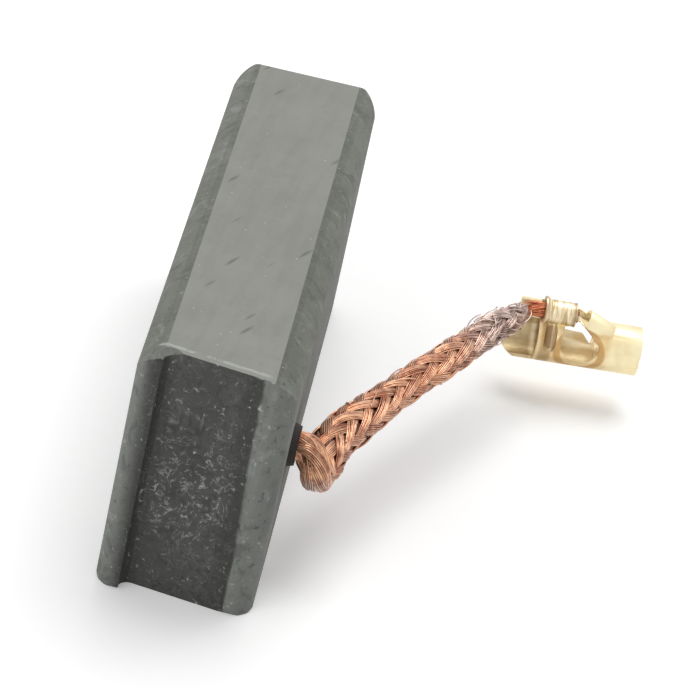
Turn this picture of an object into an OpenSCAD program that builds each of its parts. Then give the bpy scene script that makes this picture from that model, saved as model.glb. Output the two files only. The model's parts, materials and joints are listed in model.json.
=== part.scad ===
// Carbon brush: a pressed graphite block with a tamped-in copper shunt and a folded brass terminal.
// Millimetres. The origin is the middle of the block's underside, the block's length runs along Y
// with the contact end at +Y, the spring groove is at -Y and the shunt leaves the +X side.

/* [Carbon block] */
// Width of the block, across the brush holder
block_w = 6.3; // [5.5:0.1:8]
// Height of the block, from the underside to the ground top face
block_h = 10.6; // [9:0.1:14]
// Length of the block, from the spring end to the contact end
block_l = 27.5; // [20:0.5:34]
// Width of the crowned edges that run along the top face
long_edge_w = 0.95; // [0.5:0.05:1.3]
// How far the crowned edges stand out of a flat 45 degree chamfer
edge_crown = 0.13; // [0.05:0.01:0.18]
// Width of the crowned upright edges at the spring end
rear_edge_w = 0.8; // [0.4:0.05:1.1]
// Radius of the upright corners at the contact end
contact_corner_r = 1; // [0.5:0.1:1.6]
// Radius of the top and bottom edges of the contact end
contact_edge_r = 0.3; // [0.1:0.05:0.6]
// Edge break round the underside
base_break = 0.15; // [0.05:0.05:0.4]

/* [Spring groove] */
// Width of the groove in the spring end
groove_w = 4.2; // [3:0.1:4.4]
// Sideways offset of the groove from the middle of the block
groove_shift = -0.06; // [-0.2:0.02:0.2]
// Depth of the groove at its middle
groove_depth = 0.45; // [0.3:0.05:1]
// Slant of the groove's floor, deeper on the -X side
groove_slant = 9; // [0:1:12]
// Fillet between the deep wall and the floor
groove_fillet = 0.55; // [0.2:0.05:0.6]
// Width of the chip broken out of the groove's top edge
chip_w = 1.1; // [0.6:0.1:1.6]
// Depth of that chip into the top face
chip_depth = 0.2; // [0.1:0.02:0.5]

/* [Shunt seat] */
// Distance of the shunt's hole from the spring end
shunt_from_rear = 4.55; // [3:0.1:8]
// Height of the shunt's hole above the underside
shunt_z = 5.55; // [4:0.05:7]
// Diameter of the hole for the shunt
seat_d = 1.8; // [1.7:0.1:3]
// Depth of that hole
seat_depth = 4.2; // [3:0.1:5]
// How far the tamped copper-graphite plug stands out round the shunt
collar_h = 0.3; // [0.1:0.05:0.6]
// Diameter of the collar's outer end
collar_d = 1.6; // [1.5:0.05:2]

/* [Shunt] */
// Depth of the shunt's end in the block
shunt_depth = 3.4; // [2:0.1:3.8]
// Radius of the plait where it is tamped into the block
root_r = 0.66; // [0.6:0.02:0.7]
// Radius of the plait pinched at the turn of the knee
knee_r = 0.68; // [0.6:0.02:0.8]
// Radius of the plait where it bunches up after the knee
bend_r = 0.9; // [0.8:0.02:0.95]
// Radius of the plait over its free run
run_r = 0.75; // [0.6:0.01:0.8]
// Radius of the plait squeezed into the crimp
crimped_r = 0.36; // [0.3:0.01:0.4]
// Clearance round the shunt in its plug and its crimp
shunt_fit = 0.01; // [0.01:0.01:0.03]

/* [Terminal] */
// Outer diameter of the rolled sleeve
sleeve_d = 2.16; // [2.1:0.02:2.5]
// Thickness of the brass sheet
sheet_t = 0.14; // [0.12:0.01:0.16]
// Length of the sleeve with its tongue
sleeve_l = 6; // [6:0.1:7]
// Length of the closed ring at the sleeve's mouth
mouth_l = 1.8; // [1.5:0.1:2.2]
// Length of the open tongue at the other end
tongue_l = 1.4; // [1.2:0.1:1.6]
// Height of the crimp's axis above the sleeve's axis
crimp_rise = 1.4; // [1.36:0.02:1.5]
// Sideways offset of the crimp's axis from the sleeve's axis
crimp_shift = -0.25; // [-0.4:0.05:0]
// Wall of the crimp barrel
crimp_t = 0.14; // [0.1:0.01:0.18]
// Length of the closed crimp barrel
crimp_l = 1.4; // [1.2:0.1:1.7]
// Length of the open cradle in front of the barrel
cradle_l = 1; // [0.6:0.1:1.2]
// How far the bell mouth flares out of the barrel
bell_flare = 0.13; // [0.06:0.01:0.16]
// Wall of the folded hem that makes the sleeve's mouth
hem_t = 0.3; // [0.28:0.01:0.34]
// Width of the seam left along the rolled sleeve
seam_w = 0.14; // [0.08:0.02:0.2]

/* [Hidden] */
$fn = 96;
fine = 48;          // facets of small round features
cut = 0.5;          // how far a cutting body runs past the surface that it cuts

half_w = block_w / 2;
half_l = block_l / 2;
shunt_y = shunt_from_rear - half_l;
seat_r = seat_d / 2;

// Place of the terminal: the middle of its sleeve, and the turn of its axis from +X towards +Y
terminal_at = [13.65, 9.95, 2.7];
terminal_turn = 8;
sleeve_r = sleeve_d / 2;
bore_r = sleeve_r - hem_t;
inner_r = sleeve_r - sheet_t;
crimp_r = crimped_r + shunt_fit;
barrel_r = crimp_r + crimp_t;
// Stations along the sleeve's axis, from its middle
tongue_end = -sleeve_l / 2;
ring_start = sleeve_l / 2 - mouth_l;
wall_start = tongue_end + tongue_l;
barrel_end = -0.1;
barrel_start = barrel_end - crimp_l;
cradle_start = barrel_start - cradle_l;
land = 0.05;         // closed part of the wall between the window and the sized mouth
strap_l = 1.7;       // strap that slopes from the barrel down to the sleeve's mouth
strap_dip = 24;      // slope of that strap
strap_mouth = 0.4;   // open length of the strap, over the ends of the wires
open_tilt = 29;      // how far the open side of the folds looks up from the horizontal

// Points on a circular arc from p to q that bulges by s to the right of the way from p to q.
function bulge(p, q, s, n = 8) =
    let (
        chord = norm(q - p),
        r = (chord * chord / 4 + s * s) / (2 * s),
        right = [(q - p)[1], -(q - p)[0]] / chord,
        centre = (p + q) / 2 - right * (r - s),
        half = asin(chord / 2 / r),
        mid = atan2(right[1], right[0])
    )
    [for (i = [0:n]) centre + r * [cos(mid - half + 2 * half * i / n), sin(mid - half + 2 * half * i / n)]];

// Points of a quarter round of radius r from p to q.
function quarter(p, q, r) = bulge(p, q, r * (1 - cos(45)));

// Plan of the block: crowned upright edges at the spring end, rounded ones at the contact end.
module block_plan() {
    polygon(concat(
        bulge([-half_w, rear_edge_w - half_l], [rear_edge_w - half_w, -half_l], edge_crown),
        bulge([half_w - rear_edge_w, -half_l], [half_w, rear_edge_w - half_l], edge_crown),
        quarter([half_w, half_l - contact_corner_r], [half_w - contact_corner_r, half_l], contact_corner_r),
        quarter([contact_corner_r - half_w, half_l], [-half_w, half_l - contact_corner_r], contact_corner_r)
    ));
}

// Front view of the block: broken edges below, crowned long edges above.
module block_front() {
    polygon(concat(
        [[-half_w, base_break], [base_break - half_w, 0], [half_w - base_break, 0], [half_w, base_break]],
        bulge([half_w, block_h - long_edge_w], [half_w - long_edge_w, block_h], edge_crown),
        bulge([long_edge_w - half_w, block_h], [-half_w, block_h - long_edge_w], edge_crown)
    ));
}

// Side view of the block, Y across and Z up: the contact end's edges are rounded.
module block_side() {
    r = contact_edge_r;
    polygon(concat(
        [[-half_l, base_break], [base_break - half_l, 0]],
        quarter([half_l - r, 0], [half_l, r], r),
        quarter([half_l, block_h - r], [half_l - r, block_h], r),
        [[-half_l, block_h]]
    ));
}

// Plan of the spring groove: an upright deep wall, a fillet, and a floor that rises to nothing.
module groove_plan() {
    left = groove_shift - groove_w / 2;
    right = groove_shift + groove_w / 2;
    rise = tan(groove_slant);
    floor_left = groove_depth - half_l + rise * groove_w / 2;
    floor_right = groove_depth - half_l - rise * groove_w / 2;
    r = groove_fillet;
    reach = r * tan(45 - groove_slant / 2);
    wall_foot = [left, floor_left - reach];
    floor_foot = [left, floor_left] + reach * [cos(groove_slant), -sin(groove_slant)];
    polygon(concat(
        [[left, -half_l - cut]],
        [[right, -half_l - cut], [right, floor_right]],
        bulge(floor_foot, wall_foot, r * (1 - cos(45 - groove_slant / 2)))
    ));
}

module block_body() {
    intersection() {
        linear_extrude(block_h) block_plan();
        translate([0, half_l + cut, 0])
            rotate([90, 0, 0])
                linear_extrude(block_l + 2 * cut) block_front();
        translate([-half_w - cut, 0, 0])
            rotate([90, 0, 90])
                linear_extrude(block_w + 2 * cut) block_side();
    }
}

// Flake broken out where the groove's deep wall meets the top face: a shallow round dish.
module chip() {
    dish_r = (chip_w * chip_w / 4 + chip_depth * chip_depth) / (2 * chip_depth);
    floor_y = groove_depth - half_l + tan(groove_slant) * groove_w / 2;
    translate([groove_shift - groove_w / 2 + chip_w / 6, floor_y - chip_w / 3, block_h + dish_r - chip_depth])
        sphere(r = dish_r);
}

module carbon_block() {
    color([0.36, 0.37, 0.34])
        difference() {
            block_body();
            translate([0, 0, -cut]) linear_extrude(block_h + 2 * cut) groove_plan();
            chip();
            translate([half_w - seat_depth, shunt_y, shunt_z])
                rotate([0, 90, 0]) cylinder(h = seat_depth + cut, d = seat_d);
        }
}

// Copper-graphite powder rammed in round the shunt, with a low collar outside the block.
module tamping_plug() {
    color([0.12, 0.1, 0.08])
        translate([half_w - seat_depth, shunt_y, shunt_z])
            rotate([0, 90, 0])
                difference() {
                    union() {
                        cylinder(h = seat_depth, d = seat_d);
                        translate([0, 0, seat_depth]) cylinder(h = collar_h, d1 = seat_d, d2 = collar_d);
                    }
                    translate([0, 0, seat_depth - shunt_depth])
                        cylinder(h = shunt_depth + collar_h + cut, r = root_r + shunt_fit);
                }
}

// A point given along, across and above the terminal's sleeve, in the part's frame.
function on_terminal(p) = terminal_at + [
    p[0] * cos(terminal_turn) - p[1] * sin(terminal_turn),
    p[0] * sin(terminal_turn) + p[1] * cos(terminal_turn),
    p[2]
];

// Route of the shunt and its radius at each point: out of the block, a short knee, a long free
// run beside the block, and into the cradle and the crimp.
mid_r = (run_r + crimped_r) / 2;
route = [
    [[half_w - shunt_depth, shunt_y, shunt_z], root_r],
    [[half_w - shunt_depth / 2, shunt_y, shunt_z], root_r],
    [[half_w + collar_h, shunt_y, shunt_z], root_r],
    [[3.9, -9.25, 5.4], root_r],
    [[4.25, -9.4, 5], knee_r],
    [[4.45, -9.3, 4.5], knee_r],
    [[4.5, -8.6, 4.25], (knee_r + bend_r) / 2],
    [[4.55, -7.5, 4.4], bend_r],
    [[4.85, -6, 4.45], bend_r],
    [[5.4, -4.5, 4.45], bend_r],
    [[6, -3.1, 4.45], (bend_r + run_r) / 2],
    [[6.65, -1.5, 4.45], run_r],
    [[7.55, 0.5, 4.45], run_r],
    [[8.5, 2.5, 4.45], run_r],
    [[9.4, 4.5, 4.45], run_r],
    [[10.1, 6.1, 4.45], (run_r + mid_r) / 2],
    [[10.65, 7.2, 4.35], mid_r],
    [[11.1, 8.2, 4.2], (mid_r + crimped_r) / 2],
    [on_terminal([barrel_start - 0.8, crimp_shift - 0.2, crimp_rise]), crimped_r],
    [on_terminal([barrel_start, crimp_shift, crimp_rise]), crimped_r],
    [on_terminal([barrel_end + 0.12, crimp_shift, crimp_rise]), crimped_r]
];
lead_sides = 8;
ring_steps = 3;      // rings for each stretch between two points of the route

// Catmull-Rom blend of four values at t between the second and the third.
function blend4(a, b, c, d, t) =
    ((-a + 3 * b - 3 * c + d) * t * t * t + (2 * a - 5 * b + 4 * c - d) * t * t + (c - a) * t + 2 * b) / 2;

function knot(i, k) = route[max(0, min(len(route) - 1, i))][k];

function along_route(s, k) =
    let (i = min(floor(s), len(route) - 2), t = s - i)
    blend4(knot(i - 1, k), knot(i, k), knot(i + 1, k), knot(i + 2, k), t);

// Ring of points round the route at s, square to it.
function ring(s) =
    let (
        step = 0.02,
        way = along_route(min(s + step, len(route) - 1), 0) - along_route(max(s - step, 0), 0),
        t = way / norm(way),
        side = cross(t, [0, 0, 1]),
        u = side / norm(side),
        v = cross(u, t),
        r = along_route(s, 1),
        c = along_route(s, 0)
    )
    [for (i = [0:lead_sides - 1]) c + r * (cos(360 * i / lead_sides) * u + sin(360 * i / lead_sides) * v)];

module shunt_lead() {
    rings = ring_steps * (len(route) - 1);
    n = lead_sides;
    points = [for (j = [0:rings]) each ring(j / ring_steps)];
    walls = [for (j = [0:rings - 1], i = [0:n - 1])
        [j * n + i, j * n + (i + 1) % n, (j + 1) * n + (i + 1) % n, (j + 1) * n + i]];
    ends = [[for (i = [n - 1:-1:0]) i], [for (i = [0:n - 1]) rings * n + i]];
    color([0.78, 0.47, 0.33]) polyhedron(points, concat(walls, ends));
}

// Prism through the folds of the terminal, square to their open side: the 2D child is drawn with
// X along the sleeve and Y up, and runs from depth back to depth front, measured from the axis.
module across(back, front) {
    rotate([-open_tilt, 0, 0])
        rotate([90, 0, 0])
            translate([0, 0, back])
                linear_extrude(front - back) children();
}

module tube(r_out, r_in, from, to) {
    translate([from, 0, 0])
        rotate([0, 90, 0])
            difference() {
                cylinder(h = to - from, r = r_out);
                translate([0, 0, -cut]) cylinder(h = to - from + 2 * cut, r = r_in);
            }
}

// Outline of the opening in the near wall: upright on the left, cut off by the strap above.
module window_outline() {
    left = wall_start + 1.05;
    right = ring_start - land;
    deep = 0.78 * sleeve_r;
    polygon(concat(
        bulge([left, -deep / 2], [left + 0.45, -deep], 0.06, 5),
        bulge([right - 0.5, -deep], [right, -0.1 * sleeve_r], 0.16, 7),
        bulge([left + 0.7, 0.85 * sleeve_r], [left, 0.4 * sleeve_r], 0.09, 5)
    ));
}

// Outline of the gap in the far wall, seen through the window under the strap.
module far_gap_outline() {
    left = wall_start + 1.4;
    right = ring_start - 2 * land;
    polygon([
        [left, 0.43 * sleeve_r], [right - 0.5, 0.4 * sleeve_r], [right - 0.1, 0],
        [right, 0.3 * sleeve_r], [right - 0.4, 0.8 * sleeve_r], [left, 0.8 * sleeve_r]
    ]);
}

// Upright crease pressed into the near wall under the crimp.
module crease(r) {
    rotate([-open_tilt, 0, 0])
        translate([wall_start + 0.55, -sleeve_r, -0.6 * sleeve_r])
            cylinder(h = 1.4 * sleeve_r, r = r, $fn = fine);
}

// Everything beyond the round end of the tongue.
module beyond_tongue(r) {
    polygon(concat(
        [[tongue_end - cut, sleeve_d], [tongue_end + r, sleeve_d]],
        [for (a = [90:10:270]) [tongue_end + r * (1 + cos(a)), r * sin(a)]],
        [[tongue_end + r, -sleeve_d], [tongue_end - cut, -sleeve_d]]
    ));
}

// The space inside the sleeve: the bore of the hemmed mouth and the wider part behind it.
module hollow() {
    rotate([0, 90, 0]) cylinder(h = 2 * sleeve_l, r = bore_r, center = true);
    translate([tongue_end - cut, 0, 0])
        rotate([0, 90, 0]) cylinder(h = ring_start - tongue_end + cut, r = inner_r);
}

// Everything inside the middle of the sleeve's sheet: the folds of the crimp root in its outer half.
module mid_sheet() {
    rotate([0, 90, 0]) cylinder(h = 2 * sleeve_l, r = sleeve_r - sheet_t / 2, center = true);
}

module sleeve() {
    crease_r = 0.27;
    difference() {
        union() {
            difference() {
                translate([tongue_end, 0, 0]) rotate([0, 90, 0]) cylinder(h = sleeve_l, r = sleeve_r);
                hollow();
                crease(crease_r);
            }
            intersection() {
                rotate([0, 90, 0]) cylinder(h = sleeve_l, r = sleeve_r, center = true);
                difference() {
                    crease(crease_r + sheet_t);
                    crease(crease_r);
                }
            }
        }
        // open side of the tongue
        across(-0.1, sleeve_d) translate([tongue_end - cut, -sleeve_d]) square([tongue_l + cut, 2 * sleeve_d]);
        // round end of the tongue
        across(-sleeve_d, sleeve_d) beyond_tongue(1.3);
        across(-sleeve_d, 0) far_gap_outline();
        // seam along the far side, where the sheet's edges meet
        rotate([open_tilt - 90 + 25, 0, 0])
            translate([-sleeve_l, -seam_w / 2, 0]) cube([2 * sleeve_l, seam_w, sleeve_d]);
        // nick for the locating tooth at the mouth
        translate([sleeve_l / 2, -sleeve_r, 0.05]) sphere(r = 0.12, $fn = fine);
    }
}

// Crimp barrel with its bell mouth, drawn as the section that is turned round its axis.
module barrel() {
    bell_l = 0.28;
    ridges = 3;
    body_l = crimp_l - bell_l;
    ridge = [for (i = [0:ridges], side = [0, 1])
        [barrel_r + (side == 0 ? 0 : 0.03), bell_l + body_l * (i + (side == 0 ? 0 : 0.5)) / (ridges + 0.5)]];
    translate([barrel_start, 0, 0])
        rotate([0, 90, 0])
            rotate_extrude()
                polygon(concat(
                    [[crimp_r, bell_l], [crimp_r + bell_flare, 0], [barrel_r + bell_flare, 0]],
                    [[barrel_r + bell_flare, 0.07]],
                    ridge,
                    [[crimp_r, crimp_l]]
                ));
}

// Open channel under the wires, in front of the barrel.
module cradle() {
    difference() {
        tube(barrel_r, crimp_r, cradle_start, barrel_start + 0.1);
        across(-0.2, sleeve_d)
            translate([cradle_start - cut, -sleeve_d]) square([cradle_l + cut, 2 * sleeve_d]);
    }
}

// Strap behind the barrel: a rolled fold, open on top at first, that slopes down onto the sleeve.
module strap() {
    rotate([0, strap_dip, 0])
        difference() {
            tube(barrel_r, crimp_r, barrel_end - 0.1, strap_l);
            translate([-cut, -sleeve_r, 0.15]) cube([cut + strap_mouth, sleeve_d, sleeve_r]);
        }
}

module at_crimp() {
    translate([0, crimp_shift, crimp_rise]) children();
}

module terminal() {
    color([0.86, 0.74, 0.42])
        translate(terminal_at)
            rotate([0, 0, terminal_turn])
                union() {
                    difference() {
                        union() {
                            sleeve();
                            difference() {
                                at_crimp() strap();
                                mid_sheet();
                            }
                        }
                        across(0, sleeve_d) window_outline();
                        // the wires' way through the crimp
                        at_crimp() translate([cradle_start, 0, 0])
                            rotate([0, 90, 0]) cylinder(h = 0.3 - cradle_start, r = crimp_r + shunt_fit);
                    }
                    difference() {
                        at_crimp() {
                            barrel();
                            cradle();
                        }
                        mid_sheet();
                    }
                }
}

carbon_block();
tamping_plug();
shunt_lead();
terminal();
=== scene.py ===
"""Visual model of a carbon brush: graphite block, tamped powder plug, plaited copper shunt, brass terminal.

The part's own frame is kept: metres, the middle of the block's underside at the origin, the contact
end at +Y, the shunt on the +X side and the ground top face up.
"""

from __future__ import annotations

import json
import logging
import math
from dataclasses import dataclass, field
from enum import Enum
from typing import Any, Sequence, Union

import bmesh
import bpy
import numpy as np
from mathutils import Matrix, Vector

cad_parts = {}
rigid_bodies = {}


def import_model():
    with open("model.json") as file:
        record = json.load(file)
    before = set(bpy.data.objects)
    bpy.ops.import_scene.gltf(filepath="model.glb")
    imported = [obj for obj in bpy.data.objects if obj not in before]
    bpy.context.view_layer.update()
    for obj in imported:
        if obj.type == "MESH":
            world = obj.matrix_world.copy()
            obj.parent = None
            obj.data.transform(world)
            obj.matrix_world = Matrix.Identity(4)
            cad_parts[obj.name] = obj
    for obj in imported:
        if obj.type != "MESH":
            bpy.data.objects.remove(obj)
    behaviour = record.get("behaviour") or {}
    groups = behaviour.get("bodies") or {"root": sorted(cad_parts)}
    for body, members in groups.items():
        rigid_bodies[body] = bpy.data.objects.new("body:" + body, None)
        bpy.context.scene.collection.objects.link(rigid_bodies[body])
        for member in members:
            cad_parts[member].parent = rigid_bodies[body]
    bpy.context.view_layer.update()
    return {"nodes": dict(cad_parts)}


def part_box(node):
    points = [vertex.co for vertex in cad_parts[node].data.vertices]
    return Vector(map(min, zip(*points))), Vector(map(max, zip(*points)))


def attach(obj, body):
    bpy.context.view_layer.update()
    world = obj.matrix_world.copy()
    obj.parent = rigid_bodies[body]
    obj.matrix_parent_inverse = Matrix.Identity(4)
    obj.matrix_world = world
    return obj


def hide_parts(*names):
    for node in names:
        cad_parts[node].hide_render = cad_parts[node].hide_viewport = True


LOG = logging.getLogger("carbon_brush")
MM = 0.001
TERMINAL_AT = (13.65, 9.95, 2.7)  # middle of the sleeve, in millimetres
TERMINAL_TURN = math.radians(8)
Colour = tuple[float, float, float]


# ---------------------------------------------------------------- shader expressions


def linear(red: int, green: int, blue: int) -> Colour:
    """Turn a colour as it looks on a screen into the linear values that shaders take.

    Args:
        red: Red, 0 to 255.
        green: Green, 0 to 255.
        blue: Blue, 0 to 255.

    Returns:
        The linear colour.
    """

    def one(value: int) -> float:
        """Linear value of one channel."""
        share = value / 255
        return share / 12.92 if share <= 0.04045 else ((share + 0.055) / 1.055) ** 2.4

    return one(red), one(green), one(blue)


class Signal:
    """A number that varies over a surface: a shader socket with arithmetic."""

    def __init__(self, home: "Tree", socket: bpy.types.NodeSocket) -> None:
        """Wrap a socket of a node tree."""
        self.home = home
        self.socket = socket

    def _math(self, operation: str, *values: Union["Signal", float]) -> "Signal":
        """Add a Math node.

        Args:
            operation: The node's operation.
            values: Its inputs in order, this signal included.

        Returns:
            The result as a signal.
        """
        made = self.home.node("ShaderNodeMath", {"operation": operation}, dict(enumerate(values)))
        return Signal(self.home, made.outputs[0])

    def __add__(self, other: Union["Signal", float]) -> "Signal":
        """Sum."""
        return self._math("ADD", self, other)

    def __radd__(self, other: float) -> "Signal":
        """Sum with a plain number first."""
        return self._math("ADD", other, self)

    def __sub__(self, other: Union["Signal", float]) -> "Signal":
        """Difference."""
        return self._math("SUBTRACT", self, other)

    def __rsub__(self, other: float) -> "Signal":
        """Difference with a plain number first."""
        return self._math("SUBTRACT", other, self)

    def __mul__(self, other: Union["Signal", float]) -> "Signal":
        """Product."""
        return self._math("MULTIPLY", self, other)

    def __truediv__(self, other: Union["Signal", float]) -> "Signal":
        """Quotient."""
        return self._math("DIVIDE", self, other)

    def __abs__(self) -> "Signal":
        """Size without sign."""
        return self._math("ABSOLUTE", self)

    def power(self, exponent: float) -> "Signal":
        """This signal raised to a plain exponent."""
        return self._math("POWER", self, exponent)

    def above(self, other: Union["Signal", float]) -> "Signal":
        """The larger of this and another value."""
        return self._math("MAXIMUM", self, other)

    def below(self, other: Union["Signal", float]) -> "Signal":
        """The smaller of this and another value."""
        return self._math("MINIMUM", self, other)

    def ramp(self, start: float, end: float) -> "Signal":
        """Rise smoothly from 0 at start to 1 at end.

        Args:
            start: Value that gives 0; it may be larger than end.
            end: Value that gives 1.

        Returns:
            A mask between 0 and 1.
        """
        if start > end:
            return 1.0 - self.ramp(end, start)
        made = self.home.node(
            "ShaderNodeMapRange",
            {"interpolation_type": "SMOOTHSTEP"},
            {"Value": self, "From Min": start, "From Max": end},
        )
        return Signal(self.home, made.outputs["Result"])

    def band(self, low: float, high: float, soft: float) -> "Signal":
        """Mask of the values between two limits.

        Args:
            low: Lower limit.
            high: Upper limit.
            soft: Width of the soft edge at each limit.

        Returns:
            A mask between 0 and 1.
        """
        return self.ramp(low - soft / 2, low + soft / 2) * self.ramp(high + soft / 2, high - soft / 2)


Value = Union[Signal, float]
Paint = Union[bpy.types.NodeSocket, Colour]


class Tree:
    """A node tree, with the one method that adds nodes to it."""

    def __init__(self, tree: bpy.types.NodeTree) -> None:
        """Take a node tree."""
        self.tree = tree

    def node(self, kind: str, settings: dict[str, Any], inputs: dict[Any, Any]) -> bpy.types.Node:
        """Add any node.

        Args:
            kind: The node's type.
            settings: Its own settings, set before its sockets.
            inputs: Values or links by the socket's name or number.

        Returns:
            The node.
        """
        made = self.tree.nodes.new(kind)
        for key, value in settings.items():
            setattr(made, key, value)
        for key, value in inputs.items():
            socket = made.inputs[key]
            if isinstance(value, Signal):
                value = value.socket
            if isinstance(value, bpy.types.NodeSocket):
                self.tree.links.new(value, socket)
            elif isinstance(value, tuple) and len(value) == 3 and socket.type == "RGBA":
                socket.default_value = (*value, 1.0)
            else:
                socket.default_value = value
        return made

    def blend(self, share: Value, first: Paint, second: Paint) -> bpy.types.NodeSocket:
        """Go from a first colour to a second as share goes from 0 to 1.

        Args:
            share: The share of the second colour.
            first: Colour at 0.
            second: Colour at 1.

        Returns:
            The blended colour.
        """
        made = self.node("ShaderNodeMix", {"data_type": "RGBA"}, {0: share, 6: first, 7: second})
        return made.outputs[2]

    def seen(self) -> Signal:
        """Mask of the rays that come from the camera or off a glossy surface."""
        sight = self.node("ShaderNodeLightPath", {}, {})
        glossy = Signal(self, sight.outputs["Is Glossy Ray"])
        return Signal(self, sight.outputs["Is Camera Ray"]).above(glossy)


class Recipe(Tree):
    """One material's node tree, with its principled shader."""

    def __init__(self, name: str) -> None:
        """Start a material with that name."""
        self.material = bpy.data.materials.new(name)
        self.material.use_nodes = True
        super().__init__(self.material.node_tree)
        self.tree.nodes.clear()
        self.output = self.node("ShaderNodeOutputMaterial", {}, {})

    def place(self) -> bpy.types.NodeSocket:
        """Position on the object, in metres."""
        return self.node("ShaderNodeTexCoord", {}, {}).outputs["Object"]

    def turned(self, where: bpy.types.NodeSocket, about: Sequence[float], turn: Sequence[float],
               scale: Sequence[float]) -> bpy.types.NodeSocket:
        """Move a position into a turned and scaled frame.

        Args:
            where: The position.
            about: Origin of the new frame, in metres.
            turn: Turn of the new frame about each axis, in radians.
            scale: Scale that is applied last, along each new axis.

        Returns:
            The position in the new frame.
        """
        settled = self.node("ShaderNodeMapping", {"vector_type": "TEXTURE"}, {
            "Vector": where, "Location": tuple(about), "Rotation": tuple(turn)})
        made = self.node("ShaderNodeVectorMath", {"operation": "MULTIPLY"}, {
            0: settled.outputs[0], 1: tuple(scale)})
        return made.outputs[0]

    def axes(self, where: bpy.types.NodeSocket) -> tuple[Signal, Signal, Signal]:
        """The three numbers of a position."""
        made = self.node("ShaderNodeSeparateXYZ", {}, {0: where})
        return Signal(self, made.outputs[0]), Signal(self, made.outputs[1]), Signal(self, made.outputs[2])

    def facing(self) -> tuple[Signal, Signal, Signal]:
        """The three numbers of the surface's direction."""
        made = self.node("ShaderNodeNewGeometry", {}, {})
        return self.axes(made.outputs["Normal"])

    def attribute(self, name: str) -> Signal:
        """A number that is stored on the mesh."""
        made = self.node("ShaderNodeAttribute", {"attribute_name": name}, {})
        return Signal(self, made.outputs["Fac"])

    def noise(self, where: bpy.types.NodeSocket, size: float, detail: float = 2.0,
              rough: float = 0.5, twist: float = 0.0) -> Signal:
        """Cloudy noise.

        Args:
            where: Position, in metres.
            size: Size of one cloud, in metres.
            detail: Number of finer layers.
            rough: Strength of the finer layers.
            twist: Distortion of the clouds.

        Returns:
            Values round one half.
        """
        made = self.node("ShaderNodeTexNoise", {}, {
            "Vector": where, "Scale": 1.0 / size, "Detail": detail, "Roughness": rough, "Distortion": twist})
        return Signal(self, made.outputs[0])

    def cells(self, where: bpy.types.NodeSocket, size: float) -> tuple[Signal, Signal]:
        """Scattered points.

        Args:
            where: Position, in metres.
            size: Usual distance between two points, in metres.

        Returns:
            Distance to the nearest point as a share of size, and that point's own random number.
        """
        made = self.node("ShaderNodeTexVoronoi", {}, {"Vector": where, "Scale": 1.0 / size})
        parts = self.node("ShaderNodeSeparateColor", {}, {0: made.outputs["Color"]})
        return Signal(self, made.outputs["Distance"]), Signal(self, parts.outputs[0])

    def relief(self, height: Signal, depth: float) -> bpy.types.NodeSocket:
        """Fine relief of the surface.

        Args:
            height: Height between 0 and 1.
            depth: Height that 1 stands for, in metres.

        Returns:
            The surface's direction with that relief.
        """
        made = self.node("ShaderNodeBump", {}, {"Strength": 1.0, "Distance": depth, "Height": height})
        return made.outputs[0]

    def finish(self, **inputs: Any) -> bpy.types.Material:
        """Close the material with its principled shader.

        Args:
            inputs: The shader's inputs, with an underscore for each space in a name.

        Returns:
            The material.
        """
        shader = self.node("ShaderNodeBsdfPrincipled", {}, {
            key.replace("_", " "): value for key, value in inputs.items()})
        self.tree.links.new(shader.outputs[0], self.output.inputs[0])
        return self.material


# ---------------------------------------------------------------- finishes


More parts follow.
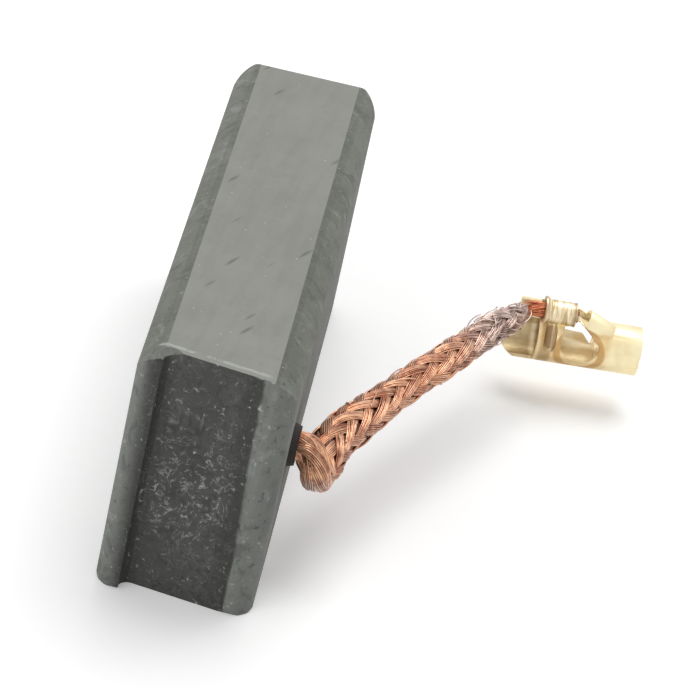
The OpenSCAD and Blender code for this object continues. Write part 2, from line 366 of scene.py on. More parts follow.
@dataclass(frozen=True)
class Graphite:
    """Pressed graphite: ground smooth on top, rough elsewhere, darkest in the spring groove."""

    half_length: float
    height: float
    groove_half: float = 2.1 * MM
    groove_middle: float = -0.06 * MM
    groove_lean: float = -0.28 * MM
    groove_foot: float = -12.97 * MM
    groove_slope: float = 0.158
    ground: Colour = linear(135, 137, 128)
    crown: Colour = linear(116, 119, 110)
    shoulder: Colour = linear(121, 124, 119)
    groove: Colour = linear(72, 72, 69)
    mark: Colour = linear(52, 53, 50)
    fleck: Colour = linear(205, 208, 205)

    def ground_face(self, r: Recipe, where: bpy.types.NodeSocket) -> tuple[bpy.types.NodeSocket, Signal]:
        """Colour of the ground top face, with its slanting nicks.

        Args:
            r: The material's recipe.
            where: Position on the block.

        Returns:
            The colour, and the mask of the nicks.
        """
        _, y, _ = r.axes(where)
        cloud = r.noise(where, 1.9 * MM, 3.0, 0.55)
        lengthwise = r.turned(where, (0, 0, 0), (0, 0, math.radians(-6)), (1.0, 0.12, 1.0))
        streak = r.noise(lengthwise, 0.5 * MM, 2.0, 0.5)
        colour = r.blend(cloud.ramp(0.3, 0.7) * 0.6 + streak.ramp(0.4, 0.7) * 0.4, self.ground,
                         linear(124, 126, 117))
        slanted = r.turned(where, (0, 0, 0), (0, 0, math.radians(-24)), (1.0, 0.17, 1.0))
        near, pick = r.cells(slanted, 0.42 * MM)
        crowd = r.noise(where, 3.0 * MM, 1.0, 0.5) + y.ramp(9.0 * MM, -6.0 * MM) * 0.12
        nick = near.ramp(0.30, 0.10) * pick.ramp(0.78, 0.84) * crowd.ramp(0.36, 0.5)
        return r.blend(nick * 0.6, colour, self.mark), nick

    def groove_floor(self, r: Recipe, where: bpy.types.NodeSocket, beside: Signal) -> bpy.types.NodeSocket:
        """Colour of the spring groove: painted shade beside its walls, pale scratches in its middle.

        Args:
            r: The material's recipe.
            where: Position on the block.
            beside: Distance from the groove's middle plane.

        Returns:
            The colour.
        """
        _, _, z = r.axes(where)
        curl = r.noise(where, 1.15 * MM, 3.0, 0.6, 2.4)
        fine = r.noise(where, 0.46 * MM, 4.0, 0.62, 1.4)
        patch = r.noise(where, 1.6 * MM, 2.0, 0.5)
        # painted shade in bands along both walls of the groove
        band = (beside + (patch - 0.5) * 0.7 * MM).ramp(1.05 * MM, 1.75 * MM)
        busy = z.band(2.6 * MM, 7.6 * MM, 3.2 * MM) * (1.0 - band)
        floor = r.blend(patch.ramp(0.34, 0.66), self.groove, linear(60, 61, 57))
        floor = r.blend(band * 0.85, floor, linear(49, 50, 46))
        floor = r.blend(fine.ramp(0.47, 0.34) * 0.6, floor, linear(36, 37, 34))
        scratch = curl.band(0.508, 0.536, 0.03) * fine.ramp(0.42, 0.56) * (0.2 + busy * 0.8)
        floor = r.blend(scratch * 0.8, floor, linear(158, 160, 158))
        return r.blend(fine.ramp(0.6, 0.72) * (0.22 + busy * 0.6), floor, linear(150, 152, 149))

    def material(self) -> bpy.types.Material:
        """Build the material."""
        r = Recipe("pressed graphite")
        where = r.place()
        x, y, z = r.axes(where)
        nx, ny, nz = r.facing()
        grain = r.noise(where, 0.27 * MM, 4.0, 0.65)
        mottle = r.noise(where, 1.0 * MM, 4.0, 0.62, 0.8)
        cloud = r.noise(where, 1.6 * MM, 3.0, 0.55)
        wobble = r.noise(where, 0.5 * MM, 2.0, 0.6)
        level = (nz + (wobble - 0.5) * 0.03).ramp(0.945, 0.985)
        top = level * z.ramp(self.height - 0.3 * MM, self.height - 0.2 * MM)
        rear = y.ramp(-self.half_length + 1.2 * MM, -self.half_length + 0.5 * MM)
        colour, nick = self.ground_face(r, where)

        # crowned edges and sides: mottled, paler on the rear shoulders, and a little paler towards the sides
        # as painted light that follows the way they face
        side = r.blend(cloud.ramp(0.35, 0.7), self.crown, linear(104, 107, 98))
        side = r.blend(nz.ramp(0.5, 0.1) * 0.5, side, linear(120, 121, 120))
        side = r.blend(rear * 0.9, side, self.shoulder)
        side = r.blend(mottle.ramp(0.46, 0.32) * 0.55, side, linear(72, 74, 70))
        side = r.blend(mottle.ramp(0.54, 0.68) * 0.45, side, linear(150, 153, 149))
        colour = r.blend(1.0 - top, colour, side)
        # painted shade on the inner part of each crowned edge, next to the ground face
        crown_shade = nz.band(0.80, 0.955, 0.05) * z.ramp(self.height - 0.35 * MM, self.height - 0.15 * MM)
        colour = r.blend(crown_shade * 0.45, colour, linear(88, 91, 84))

        # spring groove; on the left its dark colour fades softly into the shoulder as painted shade of the
        # sloping wall
        offset = x - self.groove_middle - z * (self.groove_lean / self.height)
        wavy = offset + (mottle - 0.5) * 0.22 * MM
        inside = wavy.ramp(-self.groove_half - 0.72 * MM, -self.groove_half + 0.1 * MM)
        inside = inside * wavy.ramp(self.groove_half + 0.1 * MM, self.groove_half - 0.06 * MM)
        facing_rear = ny.ramp(-0.45, -0.7) * rear
        floor = self.groove_floor(r, where, abs(offset))
        walls = abs(nx).ramp(0.35, 0.6) * rear * (1.0 - abs(x).ramp(2.3 * MM, 2.5 * MM))
        colour = r.blend(inside * (facing_rear + walls).below(1.0), colour, floor)

        # fine dark pits and bright flecks, sparse on the ground face
        shy = 1.0 - top * 0.8
        colour = r.blend(grain.ramp(0.42, 0.30) * shy * 0.6, colour, self.mark)
        bright = grain.ramp(0.60, 0.72) * mottle.ramp(0.4, 0.55)
        colour = r.blend(bright * shy * (0.3 + rear * 0.35), colour, self.fleck)
        near, pick = r.cells(where, 0.33 * MM)
        speck = near.ramp(0.15, 0.07) * pick.ramp(0.90, 0.93) * (1.0 - inside * facing_rear)
        colour = r.blend(speck * 0.6, colour, self.fleck)

        # broken pale rim along the groove's top edge, chipped graphite and partly a painted highlight, and a
        # darker patch on the side beside the plug
        beyond = y - self.groove_foot + x * self.groove_slope + (grain - 0.5) * 0.2 * MM
        rim = z.ramp(self.height - 0.28 * MM, self.height - 0.1 * MM)
        rim = rim * beyond.band(-0.06 * MM, 0.12 * MM, 0.06 * MM)
        rim = rim * abs(offset).ramp(self.groove_half + 0.4 * MM, self.groove_half)
        colour = r.blend(rim * mottle.ramp(0.36, 0.5) * 0.7, colour, linear(172, 175, 171))
        # darker patch on the +X side beside the plug
        dark_patch = x.ramp(2.7 * MM, 3.0 * MM) * y.ramp(-11.6 * MM, -12.4 * MM)
        dark_patch = dark_patch * z.band(3.6 * MM, 6.6 * MM, 1.2 * MM)
        colour = r.blend(dark_patch * mottle.ramp(0.36, 0.56) * 0.4, colour, linear(62, 64, 60))

        relief = grain * (1.0 - top * 0.8) + mottle * (0.5 - top * 0.4) - nick * 0.4
        return r.finish(
            Base_Color=colour,
            Metallic=0.0,
            Roughness=0.46 + (1.0 - top) * 0.2 + grain * 0.06,
            Normal=r.relief(relief, 0.05 * MM),
        )


@dataclass(frozen=True)
class TampedPowder:
    """Copper-graphite powder rammed into the hole round the shunt."""

    dark: Colour = linear(34, 29, 25)
    glint: Colour = linear(96, 66, 44)

    def material(self) -> bpy.types.Material:
        """Build the material."""
        r = Recipe("tamped powder")
        where = r.place()
        grain = r.noise(where, 0.07 * MM, 3.0, 0.7)
        colour = r.blend(grain.ramp(0.55, 0.75) * 0.8, self.dark, self.glint)
        return r.finish(Base_Color=colour, Roughness=0.75, Normal=r.relief(grain, 0.03 * MM))


@dataclass(frozen=True)
class CopperWire:
    """Fine bare copper wire: salmon in the free run, greyed at the knee's tip and near the crimp."""

    bright: Colour = linear(252, 200, 162)
    deep: Colour = linear(160, 98, 76)
    grey: Colour = linear(238, 218, 210)
    dull: Colour = linear(112, 86, 80)
    painted_gap_shade: Colour = linear(70, 42, 34)

    def material(self) -> bpy.types.Material:
        """Build the material."""
        r = Recipe("plaited copper")
        tone = r.attribute("tone")
        along = r.attribute("along")
        depth = r.attribute("depth")
        where = r.place()
        cloud = r.noise(where, 1.3 * MM, 2.0, 0.5)
        patch = r.noise(where, 0.42 * MM, 3.0, 0.6)
        shade = (tone * 0.8 + patch * 1.6 - 0.7).ramp(0.0, 1.0)
        copper = r.blend(shade, self.deep, self.bright)
        copper = r.blend(cloud.ramp(0.52, 0.7) * 0.5, copper, linear(212, 132, 92))
        greyed = r.blend(shade, self.dull, self.grey)
        place = along + (cloud - 0.5) * 0.10
        _, y, z = r.axes(where)
        tip = (y + (cloud - 0.5) * 0.8 * MM).ramp(-9.3 * MM, -9.9 * MM) * z.ramp(4.9 * MM, 4.2 * MM)
        ends = tip * 0.8 + place.ramp(0.60, 0.76) * 0.85
        colour = r.blend(ends.below(1.0), copper, greyed)
        tucked = r.blend(shade, linear(150, 72, 44), linear(232, 150, 108))
        colour = r.blend(along.ramp(0.885, 0.905), colour, tucked)
        # painted shade where a carrier dips under the others
        colour = r.blend(depth.ramp(0.42, 0.02) * 0.8, colour, self.painted_gap_shade)
        return r.finish(Base_Color=colour, Metallic=0.75, Roughness=0.28)


@dataclass(frozen=True)
class SheetBrass:
    """Thin bright brass sheet, pale on the sleeve, with painted shade in its folds; its frame is the sleeve's
    own.
    """

    middle: tuple[float, float, float]
    turn: float
    inner_r: float = 0.94 * MM
    crease: tuple[float, float] = (-1.44 * MM, -0.92 * MM)
    window_at: tuple[float, float] = (0.3 * MM, -0.02 * MM)
    window_half: tuple[float, float] = (0.9 * MM, 0.86 * MM)
    barrel: tuple[float, float] = (-1.62 * MM, -0.02 * MM)
    pale: Colour = linear(255, 242, 200)
    warm: Colour = linear(222, 184, 120)
    fold_shade: Colour = linear(128, 90, 44)
    inside: Colour = linear(255, 240, 204)

    def material(self) -> bpy.types.Material:
        """Build the material."""
        r = Recipe("sheet brass")
        where = r.place()
        local = r.turned(where, self.middle, (0, 0, self.turn), (1, 1, 1))
        u, v, w = r.axes(local)
        cloud = r.noise(where, 0.8 * MM, 3.0, 0.55)
        fine = r.noise(where, 0.12 * MM, 2.0, 0.6)
        reach = (v * v + w * w).power(0.5)
        colour = r.blend(cloud.ramp(0.35, 0.75) * 0.3, self.pale, self.warm)

        # the folded stretch is warmer than the sleeve, its crease darkened with painted shade
        folded = u.ramp(1.75 * MM, 1.35 * MM) * w.ramp(1.0 * MM, 0.85 * MM)
        colour = r.blend(folded * (0.35 + cloud.ramp(0.3, 0.7) * 0.4), colour, self.warm)
        near_side = v.ramp(-0.3 * MM, -0.55 * MM)
        away_u = (u - self.window_at[0]) / self.window_half[0]
        away_w = (w - self.window_at[1]) / self.window_half[1]
        window = (away_u * away_u + away_w * away_w).power(0.5) + (cloud - 0.5) * 0.1
        skin = reach.ramp(self.inner_r - 0.01 * MM, self.inner_r + 0.03 * MM)
        ring = window.band(0.9, 1.26, 0.12) * near_side * skin
        colour = r.blend(ring * 0.75, colour, linear(190, 142, 76))

        # inside the tube light bounces, so it looks paler; the open tongue is greyed as a painted reflection
        # of the dark lead
        hollow = reach.ramp(self.inner_r + 0.03 * MM, self.inner_r - 0.01 * MM)
        colour = r.blend(hollow * 0.9, colour, self.inside)
        # painted shade in the crease of the fold
        crease = u.band(*self.crease, 0.16 * MM) * w.ramp(1.05 * MM, 0.85 * MM)
        crease = crease * (hollow + near_side * 0.6).below(1.0)
        colour = r.blend(crease * 0.85, colour, self.fold_shade)
        open_tongue = u.ramp(-1.55 * MM, -1.75 * MM) * w.ramp(1.0 * MM, 0.8 * MM)
        cable_reflection = r.blend(cloud.ramp(0.3, 0.7), linear(206, 184, 140), linear(172, 146, 104))
        colour = r.blend(open_tongue * 0.85, colour, cable_reflection)

        # ribbed barrel, greyed, paler on its ribs and darker between them as painted light and shade, with
        # painted shade at its ends
        barrel = w.ramp(1.0 * MM, 1.1 * MM) * u.band(*self.barrel, 0.1 * MM)
        upright = r.turned(where, self.middle, (0, 0, self.turn), (1.0, 0.14, 0.14))
        ribs = r.noise(upright, 0.15 * MM, 2.0, 0.6)
        ribbed = r.blend(ribs.ramp(0.38, 0.6), linear(196, 170, 128), linear(248, 230, 196))
        colour = r.blend(barrel * 0.9, colour, ribbed)
        ends = barrel * (u.ramp(-0.4 * MM, -0.16 * MM) + u.ramp(-1.42 * MM, -1.56 * MM)).below(1.0)
        colour = r.blend(ends * cloud.ramp(0.3, 0.6) * 0.75, colour, linear(120, 88, 58))
        return r.finish(
            Base_Color=colour,
            Metallic=0.72,
            Roughness=0.34 + cloud * 0.1,
            Normal=r.relief(fine * 0.3 + ribs * barrel, 0.03 * MM),
        )


@dataclass(frozen=True)
class PaleFloor:
    """Matt white table top that keeps soft shadows and shows as white to the camera."""

    white: Colour = (0.8, 0.8, 0.8)
    seen: Colour = (1.0, 1.0, 1.0)
    lift: float = 0.20

    def material(self) -> bpy.types.Material:
        """Build the material."""
        r = Recipe("white table")
        seen = r.seen()
        glow = r.blend(seen * self.lift, (0.0, 0.0, 0.0), (1.0, 1.0, 1.0))
        return r.finish(Base_Color=r.blend(seen, self.white, self.seen), Roughness=0.95,
                        Specular_IOR_Level=0.0, Emission_Color=glow, Emission_Strength=1.0)


# ---------------------------------------------------------------- mesh helpers


def new_piece(name: str, points: np.ndarray, faces: Sequence[Sequence[int]], material: bpy.types.Material,
              smooth: bool = True) -> bpy.types.Object:
    """Make an object from points and faces.

    Args:
        name: The object's name.
        points: Its points, in metres.
        faces: Point numbers of each face.
        material: Its finish.
        smooth: Whether it is shaded smooth.

    Returns:
        The object, linked to the scene.
    """
    mesh = bpy.data.meshes.new(name)
    mesh.from_pydata(points.tolist(), [], faces)
    mesh.materials.append(material)
    mesh.polygons.foreach_set("use_smooth", [smooth] * len(mesh.polygons))
    mesh.update()
    made = bpy.data.objects.new(name, mesh)
    bpy.context.scene.collection.objects.link(made)
    return made


def tube_faces(rings: int, corners: int, start: int = 0) -> list[tuple[int, ...]]:
    """Faces of a tube that is closed at both ends.

    Args:
        rings: Number of rings of points along it.
        corners: Number of points in a ring.
        start: Number of its first point.

    Returns:
        Point numbers of each face.
    """
    faces = [(j * corners + i, j * corners + (i + 1) % corners,
              (j + 1) * corners + (i + 1) % corners, (j + 1) * corners + i)
             for j in range(rings - 1) for i in range(corners)]
    faces.append(tuple(range(corners - 1, -1, -1)))
    faces.append(tuple((rings - 1) * corners + i for i in range(corners)))
    return [tuple(start + number for number in face) for face in faces]


def store(piece: bpy.types.Object, **numbers: np.ndarray) -> None:
    """Store numbers between 0 and 1 on a piece's points.

    Args:
        piece: The piece.
        numbers: One number for each point, under the name that the finish reads.
    """
    for name, values in numbers.items():
        layer = piece.data.attributes.new(name, "FLOAT", "POINT")
        layer.data.foreach_set("value", np.clip(values, 0, 1))


def softened(node: bpy.types.Object, name: str, radius: float, angle: float,
             material: bpy.types.Material) -> bpy.types.Object:
    """Copy a solid of the part and round its sharp edges a little.

    Args:
        node: The solid.
        name: Name of the copy.
        radius: Width of the rounding, in metres.
        angle: Smallest angle between faces that is rounded, in degrees.
        material: The copy's finish.

    Returns:
        The copy.
    """
    mesh = node.data.copy()
    mesh.name = name
    work = bmesh.new()
    work.from_mesh(mesh)
    bmesh.ops.remove_doubles(work, verts=work.verts, dist=0.0005 * MM)
    bmesh.ops.dissolve_limit(work, angle_limit=math.radians(0.6), verts=work.verts, edges=work.edges)
    work.to_mesh(mesh)
    work.free()
    mesh.materials.clear()
    mesh.materials.append(material)
    mesh.polygons.foreach_set("use_smooth", [True] * len(mesh.polygons))
    made = bpy.data.objects.new(name, mesh)
    bpy.context.scene.collection.objects.link(made)
    bevel = made.modifiers.new("edge", "BEVEL")
    bevel.width = radius
    bevel.segments = 2
    bevel.limit_method = "ANGLE"
    bevel.angle_limit = math.radians(angle)
    bevel.use_clamp_overlap = True
    bevel.harden_normals = True
    evaluated = made.evaluated_get(bpy.context.evaluated_depsgraph_get())
    final = bpy.data.meshes.new_from_object(evaluated)
    made.modifiers.clear()
    made.data = final
    return made


# ---------------------------------------------------------------- the pieces


@dataclass
class CarbonBlock:
    """The pressed block, with its edges rubbed very slightly round."""

    node: bpy.types.Object
    edge: float = 0.05 * MM

    def build(self) -> bpy.types.Object:
        """Round and dress the block."""
        _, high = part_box("carbon_block")
        finish = Graphite(half_length=high.y, height=high.z)
        made = softened(self.node, "ground_block", self.edge, 14.0, finish.material())
        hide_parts("carbon_block")
        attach(made, "root")
        return made


@dataclass
class TampingPlug:
    """The rammed plug; its solid is right as it is."""

    node: bpy.types.Object

    def build(self) -> bpy.types.Object:
        """Dress the plug."""
        self.node.data.materials.clear()
        self.node.data.materials.append(TampedPowder().material())
        return self.node


class Lay(Enum):
    """Which way a carrier's wires wind round the plait."""

    LEFT = -1
    RIGHT = 1


@dataclass
class Route:
    """Centre line of the shunt, with its radius, as smooth functions of a running number."""

    points: list[tuple[float, float, float, float]]
    steps: int = 40
    count: int = 700
    stiffness: int = 21

    def __post_init__(self) -> None:
        """Sample the curve and carry an untwisted frame along it."""
        knots = np.array(self.points, float)
        rows = []
        for i in range(len(knots) - 1):
            a, b = knots[max(i - 1, 0)], knots[i]
            c, d = knots[i + 1], knots[min(i + 2, len(knots) - 1)]
            for k in range(self.steps):
                t = k / self.steps
                rows.append(((-a + 3 * b - 3 * c + d) * t**3 + (2 * a - 5 * b + 4 * c - d) * t * t
                             + (c - a) * t + 2 * b) / 2)
        rows.append(knots[-1])
        line = np.array(rows)
        gone = np.concatenate([[0], np.cumsum(np.linalg.norm(np.diff(line[:, :3], axis=0), axis=1))])
        self.length = float(gone[-1])
        even = np.linspace(0, self.length, self.count)
        self.at = np.stack([np.interp(even, gone, line[:, k]) for k in range(3)], axis=1)
        self.radius = np.interp(even, gone, line[:, 3])
        way = np.gradient(self.at, axis=0)
        # the plait is stiffer than the line: its frame turns a little ahead of and behind each bend
        core = np.ones(self.stiffness) / self.stiffness
        reach = self.stiffness // 2
        padded = np.pad(way, ((reach, reach), (0, 0)), mode="edge")
        way = np.stack([np.convolve(padded[:, k], core, "valid") for k in range(3)], axis=1)
        way /= np.linalg.norm(way, axis=1)[:, None]
        side = np.zeros_like(way)
        first = np.cross(way[0], [0, 0, 1])
        side[0] = first / np.linalg.norm(first)
        for i in range(1, self.count):
            turned = side[i - 1] - way[i] * np.dot(side[i - 1], way[i])
            side[i] = turned / np.linalg.norm(turned)
        self.side = side
        self.up = np.cross(way, side)
        self.share = even / self.length

    def take(self, share: np.ndarray) -> tuple[np.ndarray, np.ndarray, np.ndarray, np.ndarray]:
        """Look up the line.

        Args:
            share: Share of the length, one for each wanted place.

        Returns:
            Centre, side, up and radius at each place.
        """

        def look(values: np.ndarray) -> np.ndarray:
            """Interpolate columns."""
            return np.stack([np.interp(share, self.share, values[:, k]) for k in range(3)], axis=1)

        return look(self.at), look(self.side), look(self.up), np.interp(share, self.share, self.radius)


@dataclass
class PlaitedShunt:
    """The plaited copper lead: carriers of fine wires laid over and under each other."""

    middle: tuple[float, float, float]
    turn: float
    carriers: int = 8
    wires: int = 7
    wire_r: float = 0.036
    pitch: float = 11.5
    lift: float = 0.06
    rings: int = 250
    corners: int = 4
    spacing: float = 2.296
    dome: float = 0.045
    settle: float = 0.03
    core_share: float = 0.8
    core_rings: int = 160
    core_sides: int = 12
    frays: int = 44
    fray_rings: int = 12
    stray_every: int = 6
    rng: np.random.Generator = field(default_factory=lambda: np.random.default_rng(11))

    def on_terminal(self, u: float, v: float, w: float) -> tuple[float, float, float]:
        """A point along, across and above the sleeve, in millimetres of the part's frame."""
        c, s = math.cos(self.turn), math.sin(self.turn)
        return (self.middle[0] + u * c - v * s, self.middle[1] + u * s + v * c, self.middle[2] + w)

    def route(self) -> Route:
        """The lead's way from the plug, round its knee and into the crimp."""
        return Route([
            (1.45, -9.2, 5.55, 0.62), (3.45, -9.2, 5.55, 0.62), (3.9, -9.25, 5.4, 0.66),
            (4.25, -9.4, 5.0, 0.68), (4.45, -9.3, 4.5, 0.68), (4.5, -8.6, 4.25, 0.76),
            (4.55, -7.5, 4.4, 0.86), (4.85, -6.0, 4.45, 0.88), (5.4, -4.5, 4.45, 0.88),
            (6.0, -3.1, 4.45, 0.8), (6.65, -1.5, 4.45, 0.73), (7.55, 0.5, 4.45, 0.73),
            (8.5, 2.5, 4.45, 0.73), (9.4, 4.5, 4.45, 0.7), (10.1, 6.1, 4.45, 0.66),
            (10.65, 7.2, 4.38, 0.58), (11.1, 8.2, 4.25, 0.42),
            (*self.on_terminal(-2.3, -0.45, 1.4), 0.33),
            (*self.on_terminal(-1.5, -0.25, 1.4), 0.32),
            (*self.on_terminal(0.02, -0.25, 1.4), 0.32),
        ])

    def strand(self, centre: np.ndarray, side: np.ndarray, up: np.ndarray, angle: np.ndarray,
               out: np.ndarray, radius: float) -> np.ndarray:
        """Points of one thin wire wound round the line.

        Args:
            centre: Points of the line.
            side: Sideways directions along the line.
            up: Upward directions along the line.
            angle: Angle of the wire round the line at each point.
            out: Distance of the wire from the line at each point.
            radius: The wire's own radius.

        Returns:
            Rings of points, one after the other.
        """
        spoke = side * np.cos(angle)[:, None] + up * np.sin(angle)[:, None]
        path = centre + spoke * out[:, None]
        way = np.gradient(path, axis=0)
        way /= np.linalg.norm(way, axis=1)[:, None]
        flat = np.cross(way, spoke)
        flat /= np.linalg.norm(flat, axis=1)[:, None]
        rise = np.cross(flat, way)
        corner = np.arange(self.corners) * 2 * math.pi / self.corners + math.pi / 4
        ring = path[:, None, :] + radius * (np.cos(corner)[None, :, None] * flat[:, None, :]
                                            + np.sin(corner)[None, :, None] * rise[:, None, :])
        return ring.reshape(-1, 3)

    def half_plait(self, route: Route, lay: Lay, name: str, material: bpy.types.Material) -> bpy.types.Object:
        """All carriers that wind one way.

        Args:
            route: The lead's centre line.
            lay: Which way they wind.
            name: The piece's name.
            material: The wires' finish.

        Returns:
            The piece.
        """
        share = np.linspace(0, 1, self.rings)
        centre, side, up, radius = route.take(share)
        gone = share * route.length
        turns = gone / self.pitch
        points, faces, tones, alongs, depths = [], [], [], [], []
        for carrier in range(self.carriers):
            crossing = 2 * turns * self.carriers
            if lay is Lay.RIGHT:
                phase = 2 * carrier + crossing
                over = np.cos(2 * math.pi * (phase - 0.5) / 4)
            else:
                phase = 2 * carrier - crossing
                over = -np.cos(2 * math.pi * (phase - 0.5) / 4)
            shade = self.rng.uniform(-0.2, 0.2)
            wander = self.rng.uniform(0, 6.28)
            for wire in range(self.wires):
                place = wire - (self.wires - 1) / 2
                spread = place * self.spacing * self.wire_r
                loose = 0.014 * np.sin(gone * self.rng.uniform(1.2, 2.6) + self.rng.uniform(0, 6.28))
                dome = self.dome * (1 - (place / (self.wires / 2)) ** 2)
                slack = 0.03 * np.sin(gone * 0.9 + 2 * wander)
                slack = slack + 0.05 * np.sin(gone * 2.2 + 3 * wander) * np.exp(-((gone - 4.4) / 2.0) ** 2)
                out = radius - self.wire_r - self.lift * (1 - over) + dome - self.settle + loose + slack
                twist = 0.11 * np.sin(gone * 1.3 + wander) + 0.05 * np.sin(gone * 2.9 + 3 * wander)
                angle = lay.value * 2 * math.pi * turns + 2 * math.pi * carrier / self.carriers
                sideways = (spread + twist * 0.5) / np.maximum(radius, 0.3) * np.minimum(radius / 0.6, 1)
                ring = self.strand(centre, side, up, angle + sideways, out, self.wire_r)
                faces.extend(tube_faces(self.rings, self.corners, len(points) * len(ring)))
                points.append(ring)
                tone = 0.5 + shade + self.rng.uniform(-0.28, 0.28)
                tones.append(np.full(len(ring), tone))
                alongs.append(np.repeat(share, self.corners))
                depths.append(np.repeat(0.5 + 0.5 * over, self.corners))
        made = new_piece(name, np.concatenate(points) * MM, faces, material)
        store(made, tone=np.concatenate(tones), along=np.concatenate(alongs), depth=np.concatenate(depths))
        return made

    def core(self, route: Route, material: bpy.types.Material) -> bpy.types.Object:
        """The inside of the plait, painted dark as shade.

        Args:
            route: The lead's centre line.
            material: The wires' finish.

        Returns:
            The piece.
        """
        share = np.linspace(0, 1, self.core_rings)
        centre, side, up, radius = route.take(share)
        turn = np.arange(self.core_sides) * 2 * math.pi / self.core_sides
        ring = centre[:, None, :] + (radius * self.core_share)[:, None, None] * (
            np.cos(turn)[None, :, None] * side[:, None, :] + np.sin(turn)[None, :, None] * up[:, None, :])
        faces = tube_faces(self.core_rings, self.core_sides)
        made = new_piece("shunt_core", ring.reshape(-1, 3) * MM, faces, material)
        # its low tone and depth paint it dark as shade
        everywhere = np.ones(self.core_rings * self.core_sides)
        store(made, tone=0.1 * everywhere, along=np.repeat(share, self.core_sides), depth=0.05 * everywhere)
        return made

    def frayed(self, route: Route, material: bpy.types.Material) -> bpy.types.Object:
        """Short broken wires that stand out of the plait near the crimp.

        Args:
            route: The lead's centre line.
            material: The wires' finish.

        Returns:
            The piece.
        """
        points, faces, tones, alongs = [], [], [], []
        for number in range(self.frays):
            start = self.rng.uniform(0.72, 0.865)
            stray = number % self.stray_every == 0
            if stray:
                start = self.rng.uniform(0.3, 0.7)
            span = self.rng.uniform(0.018, 0.04)
            share = np.linspace(start, start + span, self.fray_rings)
            centre, side, up, radius = route.take(share)
            t = np.linspace(0, 1, self.fray_rings)
            lift = self.rng.uniform(0.03, 0.16) * (0.4 if stray else 1)
            out = radius - 0.02 + lift * np.sin(t * math.pi * self.rng.uniform(0.5, 1.0))
            turn = self.rng.uniform(0, 6.28) + self.rng.uniform(-1.1, 1.1) * t
            ring = self.strand(centre, side, up, turn, out, self.wire_r * 0.85)
            faces.extend(tube_faces(self.fray_rings, self.corners, number * len(ring)))
            points.append(ring)
            tones.append(np.full(len(ring), self.rng.uniform(0.55, 1.0)))
            alongs.append(np.repeat(share, self.corners))
        made = new_piece("shunt_frayed_wires", np.concatenate(points) * MM, faces, material)
        tone = np.concatenate(tones)
        store(made, tone=tone, along=np.concatenate(alongs), depth=np.ones(len(tone)))
        return made

    def build(self) -> list[bpy.types.Object]:
        """Plait the lead."""
        route = self.route()
        material = CopperWire().material()
        made = [
            self.half_plait(route, Lay.RIGHT, "shunt_right_lay", material),
            self.half_plait(route, Lay.LEFT, "shunt_left_lay", material),
            self.core(route, material),
            self.frayed(route, material),
        ]
        for piece in made:
            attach(piece, "root")
        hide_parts("shunt_lead")
        LOG.info("plaited lead %.1f mm long", route.length)
        return made


@dataclass
class CrimpTerminal:
    """The folded brass terminal, with the raw edges of its sheet rubbed round."""

    node: bpy.types.Object
    middle: tuple[float, float, float]
    turn: float
    edge: float = 0.02 * MM

    def build(self) -> bpy.types.Object:
        """Round and dress the terminal."""
        finish = SheetBrass(middle=tuple(c * MM for c in self.middle), turn=self.turn)
        made = softened(self.node, "folded_terminal", self.edge, 24.0, finish.material())
        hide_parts("terminal")
        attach(made, "root")
        return made


# ---------------------------------------------------------------- the studio


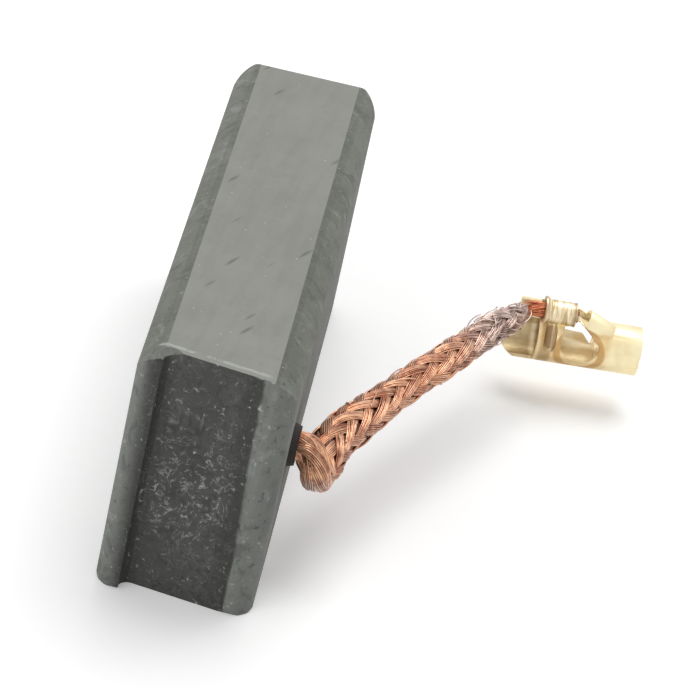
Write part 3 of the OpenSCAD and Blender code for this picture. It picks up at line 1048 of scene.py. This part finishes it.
@dataclass
class Studio:
    """White table, soft light and the camera."""

    camera_at: tuple[float, float, float] = (0.0064886, -0.1535452, 0.0896586)
    right: tuple[float, float, float] = (0.9739, 0.119, 0.19329)
    down: tuple[float, float, float] = (0.22669, -0.46707, -0.85467)
    ahead: tuple[float, float, float] = (-0.01143, 0.87618, -0.48186)
    lens: float = 218.06
    around: Colour = (0.42, 0.42, 0.42)
    backdrop: Colour = (1.0, 1.0, 1.0)

    def table(self) -> None:
        """Lay the table top."""
        size = 3.0
        points = np.array([[-size, -size, 0], [size, -size, 0], [size, size, 0], [-size, size, 0]])
        top = new_piece("table_top", points, [(0, 1, 2, 3)], PaleFloor().material(), smooth=False)

    def lamp(self, name: str, at: tuple[float, float, float], size: float, power: float) -> None:
        """Hang a square soft lamp that looks at the part.

        Args:
            name: The lamp's name.
            at: Its place, in metres.
            size: Its side, in metres.
            power: Its power, in watts.
        """
        data = bpy.data.lights.new(name, "AREA")
        data.shape = "SQUARE"
        data.size = size
        data.energy = power
        made = bpy.data.objects.new(name, data)
        bpy.context.scene.collection.objects.link(made)
        made.location = at
        made.rotation_mode = "QUATERNION"
        made.rotation_quaternion = (Vector((0.004, 0, 0.005)) - Vector(at)).to_track_quat("-Z", "Y")

    def light(self) -> None:
        """Hang the lamps and light the world."""
        self.lamp("key_lamp", (0.03, 0.115, 0.285), 0.20, 0.45)
        self.lamp("fill_lamp", (-0.18, -0.26, 0.14), 0.24, 0.36)
        world = bpy.data.worlds.new("studio")
        world.use_nodes = True
        bpy.context.scene.world = world
        air = Tree(world.node_tree)
        plain = world.node_tree.nodes["Background"]
        air.tree.links.new(air.blend(air.seen(), self.around, self.backdrop), plain.inputs["Color"])
        plain.inputs["Strength"].default_value = 1.0

    def shoot(self) -> None:
        """Set up the camera."""
        data = bpy.data.cameras.new("camera")
        data.lens = self.lens
        data.sensor_width = 36.0
        data.clip_start, data.clip_end = 0.01, 20.0
        made = bpy.data.objects.new("camera", data)
        bpy.context.scene.collection.objects.link(made)
        turn = Matrix((self.right, [-c for c in self.down], [-c for c in self.ahead])).transposed()
        made.matrix_world = Matrix.Translation(self.camera_at) @ turn.to_4x4()
        bpy.context.scene.camera = made

    def build(self) -> None:
        """Set the whole studio up."""
        self.table()
        self.light()
        self.shoot()
        view = bpy.context.scene.view_settings
        view.view_transform = "Standard"


def main() -> None:
    """Build the brush, dress it and set up the studio."""
    logging.basicConfig(level=logging.INFO, format="%(message)s")
    for old in list(bpy.data.objects):
        bpy.data.objects.remove(old)
    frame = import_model()
    nodes = frame["nodes"]
    block = CarbonBlock(nodes["carbon_block"]).build()
    LOG.info("block: %d faces", len(block.data.polygons))
    plug = TampingPlug(nodes["tamping_plug"]).build()
    LOG.info("plug: %d faces", len(plug.data.polygons))
    for piece in PlaitedShunt(TERMINAL_AT, TERMINAL_TURN).build():
        LOG.info("%s: %d faces", piece.name, len(piece.data.polygons))
    terminal = CrimpTerminal(nodes["terminal"], TERMINAL_AT, TERMINAL_TURN).build()
    LOG.info("terminal: %d faces", len(terminal.data.polygons))
    Studio().build()
    bpy.context.view_layer.update()


if __name__ == "__main__":
    main()
